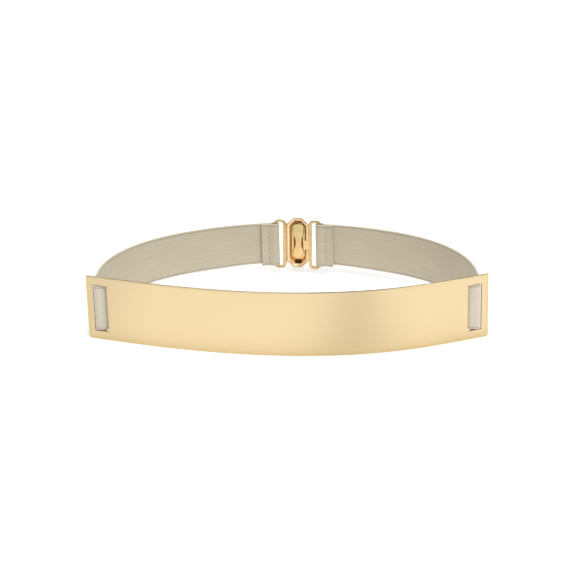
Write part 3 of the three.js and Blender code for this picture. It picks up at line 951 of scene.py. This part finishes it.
def clasp_gold_finish(name, depth_shading, low_tint, high_tint, recess_from, paints_opening_shade):
    """Cast and plated metal: light on the clasp's outside, and on its inside painted shade and painted
    highlights that follow the depth.
    """
    build = Nodes(name)
    place = build.place()
    normal = build.add("ShaderNodeNewGeometry").outputs["Normal"]
    toward = Vector((clasp_right.y, -clasp_right.x, 0))
    sideways = Vector((clasp_right.x, clasp_right.y, 0))
    centre = Vector(to_frame(clasp_centre.x, clasp_centre.y, middle_height + frame_raise))
    rim = centre.dot(toward) - frame_set_back * MM
    depth = build.math("SUBTRACT", rim, build.dot(place, toward))
    side = build.math("SUBTRACT", build.dot(place, sideways), centre.dot(sideways))
    off_side = build.math("ABSOLUTE", side)
    rise = build.math("SUBTRACT", build.dot(place, Vector((0, 0, 1))), centre.z)
    off_middle = build.math("ABSOLUTE", rise)
    slant = build.math("ADD", off_side, off_middle)
    slant_reach = frame_width / 2 + frame_half_height - frame_cut
    inside = build.product([
        build.until(off_side, frame_width / 2 - rim_skin, rim_fade),
        build.until(off_middle, frame_half_height - rim_skin, rim_fade),
        build.until(slant, slant_reach - math.sqrt(2) * rim_skin, rim_fade),
        build.between(build.dot(normal, toward), 0.0, 1.0, *facing_limits),
    ])
    cloud = build.noise(place, scale=160.0, detail=3.0)
    fine = build.noise(place, scale=2400.0)
    light = build.colours(cloud, [(0.3, (0.54, 0.39, 0.18)), (0.7, (0.63, 0.47, 0.24))])
    # painted shade and painted highlights: the inside's tone follows its depth below the rim
    stops = [(tone_depth / deepest_tone, tone) for tone_depth, tone in depth_shading]
    deep = build.colours(build.beyond(depth, 0.0, deepest_tone), stops)
    tint = build.mix(build.beyond(rise, -tint_reach, 2 * tint_reach), low_tint, high_tint)
    tinted = build.mix(1.0, deep, tint, "MULTIPLY")
    clouds = build.between(cloud, 0.88, 1.0, from_low=0.3, from_high=0.6)
    clouded = build.mix(clouds, (0, 0, 0), tinted)
    colour = build.mix(inside, light, clouded)
    if paints_opening_shade:
        # painted shade: a dark patch on the frame's floor, for an opening that lies in shadow
        off_hole = build.math("ABSOLUTE", build.math("ADD", rise, frame_hole_drop * MM))
        half_width, half_height = (size / 2 - frame_hole_fade / 2 for size in frame_hole)
        hole = build.product([
            build.until(off_side, half_width, frame_hole_fade),
            build.until(off_hole, half_height, frame_hole_fade),
            build.beyond(depth, frame_hole_from, frame_hole_fade),
            inside,
        ])
        colour = build.mix(hole, colour, (0.06, 0.018, 0.004))
    dull = build.math("MULTIPLY", inside, build.beyond(depth, dull_from, dull_fade, dull_most))
    recess = build.math("MULTIPLY", inside, build.beyond(depth, recess_from, recess_fade))
    build.bump(fine, strength=0.05, distance=0.01 * MM)
    return build.surface({
        "Base Color": colour,
        "Roughness": build.math("ADD", build.between(fine, 0.15, 0.22), dull),
        "Metallic": build.between(recess, 1.0, recess_metal),
    })


def elastic_cloth():
    """Woven elastic: ribs are in the mesh; yarns across them, streaks and flecks are here, with painted shade
    in the grooves, the selvage lines and the needle holes, and painted light on the folds at the plate.
    """
    build = Nodes("khaki_elastic")
    weave = build.add("ShaderNodeUVMap", uv_map="weave").outputs["UV"]
    parts = build.add("ShaderNodeSeparateXYZ")
    build.link(weave, parts.inputs[0])
    along, across = parts.outputs[0], parts.outputs[1]
    rib_pitch = 2 * ribbed_half / rib_count
    weft = build.math("SINE", build.math("MULTIPLY", along, 2 * math.pi / (yarn_pitch * MM)))
    rib = build.math("COSINE", build.math("MULTIPLY", across, 2 * math.pi / (rib_pitch * MM)))
    crossed = build.math("MULTIPLY", weft, rib)
    streak = build.noise(build.stretched(weave, (45.0, 900.0, 1.0)), detail=3.0)
    fleck = build.noise(build.stretched(weave, (1800.0, 1800.0, 1.0)))
    patch = build.noise(build.stretched(weave, (30.0, 60.0, 1.0)))
    tone = build.math("ADD", build.math("MULTIPLY", streak, 0.5), build.math("MULTIPLY", fleck, 0.35))
    tone = build.math("ADD", tone, build.math("MULTIPLY", patch, 0.15))
    colour = build.colours(tone, [
        (0.25, (0.435, 0.385, 0.287)),
        (0.5, (0.495, 0.44, 0.332)),
        (0.75, (0.557, 0.497, 0.382)),
    ])
    shown = build.attribute("ribs")
    # painted shade in the grooves between the ribs, which the mesh also has
    groove_shade = build.math("MULTIPLY", build.between(rib, 0.0, 0.1, from_low=0.1), shown)
    yarns = build.between(crossed, 0.97, 1.02, from_low=-1.0)
    # painted shade: a dark line in the groove between ribs and selvage
    off_line = build.math("SUBTRACT", build.math("ABSOLUTE", across), ribbed_half * MM)
    line_reach = (selvage_shade_core * MM, selvage_shade_reach * MM)
    selvage_line_shade = build.between(build.math("ABSOLUTE", off_line), selvage_shade, 1.0, *line_reach)
    shade = build.product([yarns, build.math("SUBTRACT", 1.0, groove_shade), selvage_line_shade])
    # painted light: a paler tone on the folds at the plate, where the ribs stand out most
    fold_light = build.between(shown, 0.0, 0.9, from_low=rib_calm)
    stretched = build.mix(fold_light, colour, (0.64, 0.58, 0.47))
    shaded = build.mix(1.0, stretched, build.mix(shade, (0, 0, 0), (1, 1, 1)), "MULTIPLY")
    # painted shade in the needle holes
    needle_hole_shade = build.between(build.attribute("needle"), 0.0, 0.8, from_low=0.2, from_high=0.9)
    height = build.math("ADD", build.math("MULTIPLY", crossed, 0.5), build.math("MULTIPLY", fleck, 0.6))
    build.bump(height, strength=0.35, distance=0.08 * MM)
    return build.surface({
        "Base Color": build.mix(needle_hole_shade, shaded, (0.19, 0.16, 0.11)),
        "Roughness": 0.82,
        "Sheen Weight": 0.25,
        "Sheen Roughness": 0.5,
    })


def sewing_thread():
    """Twisted thread, with painted shade where it dips into the cloth."""
    build = Nodes("sewing_thread")
    twist = build.noise(build.stretched(build.place(), (2600.0, 2600.0, 5200.0)))
    strand = build.colours(twist, [(0.3, (0.38, 0.335, 0.25)), (0.7, (0.54, 0.48, 0.37))])
    # painted shade where the thread dips into the cloth
    dip_shade = build.between(build.attribute("sunk"), 0.0, 1.0, from_low=0.35, from_high=0.75)
    build.bump(twist, strength=0.4, distance=0.08 * MM)
    return build.surface({
        "Base Color": build.mix(dip_shade, strand, (0.16, 0.135, 0.09)),
        "Roughness": 0.7,
    })


def pale_floor():
    """A pale floor with its soft bands. It glows faintly, so that it stays white behind the belt."""
    build = Nodes("pale_floor")
    place = build.place()
    shade = build.between(build.noise(place, scale=3.0), *floor_tones)
    for band in floor_bands:
        ahead = build.math("SUBTRACT", band["front"] * MM, build.dot(place, Vector((0, 1, 0))))
        middle = build.math("ADD", band["side"] * MM, build.math("MULTIPLY", ahead, band["slant"]))
        off = build.math("SUBTRACT", build.dot(place, Vector((1, 0, 0))), middle)
        reach = build.math("DIVIDE", off, band["width"] * MM)
        bell = build.math("EXPONENT", build.product([reach, reach, -1.0]))
        begun = build.beyond(ahead, -floor_band_fade, 2 * floor_band_fade, band["depth"])
        shade = build.math("SUBTRACT", shade, build.math("MULTIPLY", bell, begun))
    colour = build.add("ShaderNodeCombineXYZ")
    for socket in colour.inputs:
        build.link(shade, socket)
    return build.surface({
        "Base Color": colour.outputs[0],
        "Roughness": 0.9,
        "Specular IOR Level": 0.1,
        "Emission Color": (1, 1, 1),
        "Emission Strength": floor_glow,
    })


# The metal clasp keeps its construction, with rounded edges


def soften_edges(piece):
    """Joins the solid's triangles into its flat faces, and rounds the edges between them."""
    joined = piece.modifiers.new("joined", "WELD")
    joined.merge_threshold = same_corner * MM
    flat = piece.modifiers.new("flat_faces", "DECIMATE")
    flat.decimate_type = "DISSOLVE"
    flat.angle_limit = clasp_flat_angle
    bevel = piece.modifiers.new("edges", "BEVEL")
    bevel.width = clasp_edge_round * MM
    bevel.segments = 3
    bevel.limit_method = "ANGLE"
    bevel.angle_limit = clasp_edge_angle
    piece.data.polygons.foreach_set("use_smooth", [True] * len(piece.data.polygons))
    weighted = piece.modifiers.new("normals", "WEIGHTED_NORMAL")
    weighted.keep_sharp = True


def paint(piece, material):
    piece.data.materials.clear()
    piece.data.materials.append(material)


# Belt

plate_gold = plate_gold_finish()
clasp_golds = {
    "clasp_frame": clasp_gold_finish(
        "clasp_frame_gold",
        frame_depth_shading,
        low_tint=(1.0, 0.97, 0.95),
        high_tint=(1.0, 1.0, 1.0),
        recess_from=0.1,
        paints_opening_shade=True,
    ),
    "clasp_hook": clasp_gold_finish(
        "clasp_hook_gold",
        hook_depth_shading,
        low_tint=(1.05, 0.95, 0.88),
        high_tint=(0.86, 0.92, 0.86),
        recess_from=0.95,
        paints_opening_shade=False,
    ),
}
cloth = elastic_cloth()
thread = sewing_thread()

plate = metal_plate()
paint(plate, plate_gold)
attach(plate, BODY)
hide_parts("front_plate")

for side in sides:
    bar = window_bar(side)
    paint(bar, plate_gold)
    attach(bar, BODY)
    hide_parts("front_plate")
    band = elastic_band(side)
    paint(band, cloth)
    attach(band, BODY)
    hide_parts(f"strap_{side}")
    for seam in stitches(side):
        paint(seam, thread)
        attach(seam, BODY)

for name, clasp_gold in clasp_golds.items():
    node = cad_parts[name]
    paint(node, clasp_gold)
    soften_edges(node)

# Floor, light and camera


def add_floor():
    low, high = -floor_reach, floor_reach
    corners = [(low, low, 0), (high, low, 0), (high, high, 0), (low, high, 0)]
    floor = add_piece("floor", corners, [(0, 1, 2, 3)], smooth=False)
    paint(floor, pale_floor())
    floor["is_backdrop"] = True


def add_light(name, place, target, size, power):
    data = bpy.data.lights.new(name, "AREA")
    data.shape = "RECTANGLE"
    data.size, data.size_y = size
    data.energy = power
    lamp = bpy.data.objects.new(name, data)
    lamp.location = place
    lamp.rotation_euler = (Vector(target) - Vector(place)).to_track_quat("-Z", "Y").to_euler()
    bpy.context.scene.collection.objects.link(lamp)


def add_world():
    world = bpy.data.worlds.new("studio")
    world.use_nodes = True
    world.node_tree.nodes["Background"].inputs["Color"].default_value = (1, 1, 1, 1)
    world.node_tree.nodes["Background"].inputs["Strength"].default_value = sky_strength
    bpy.context.scene.world = world


def add_camera():
    """The photograph's view: from in front and above, turned a little to the left and rolled."""
    data = bpy.data.cameras.new("camera")
    data.sensor_width = sensor_width
    data.lens = sensor_width * focal_length / photo_width
    data.clip_start, data.clip_end = camera_clip
    level = Vector((-math.sin(camera_yaw), math.cos(camera_yaw), 0))
    aim = level * math.cos(camera_pitch) - Vector((0, 0, math.sin(camera_pitch)))
    right = Vector((level.y, -level.x, 0))
    upward = right.cross(aim)
    axis_x = right * math.cos(camera_roll) + upward * math.sin(camera_roll)
    axis_y = upward * math.cos(camera_roll) - right * math.sin(camera_roll)
    turn = Matrix((axis_x, axis_y, -aim)).transposed().to_4x4()
    camera = bpy.data.objects.new("camera", data)
    camera.matrix_world = Matrix.Translation(to_frame(*camera_stand)) @ turn
    bpy.context.scene.collection.objects.link(camera)
    bpy.context.scene.camera = camera


add_floor()
add_world()
for light in lights:
    add_light(**light)
add_camera()
bpy.context.scene.view_settings.view_transform = "Standard"

visual_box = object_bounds()
boxes = {"cad": cad_box, "visual": visual_box}
{name: [list(corner) for corner in box] for name, box in boxes.items()}
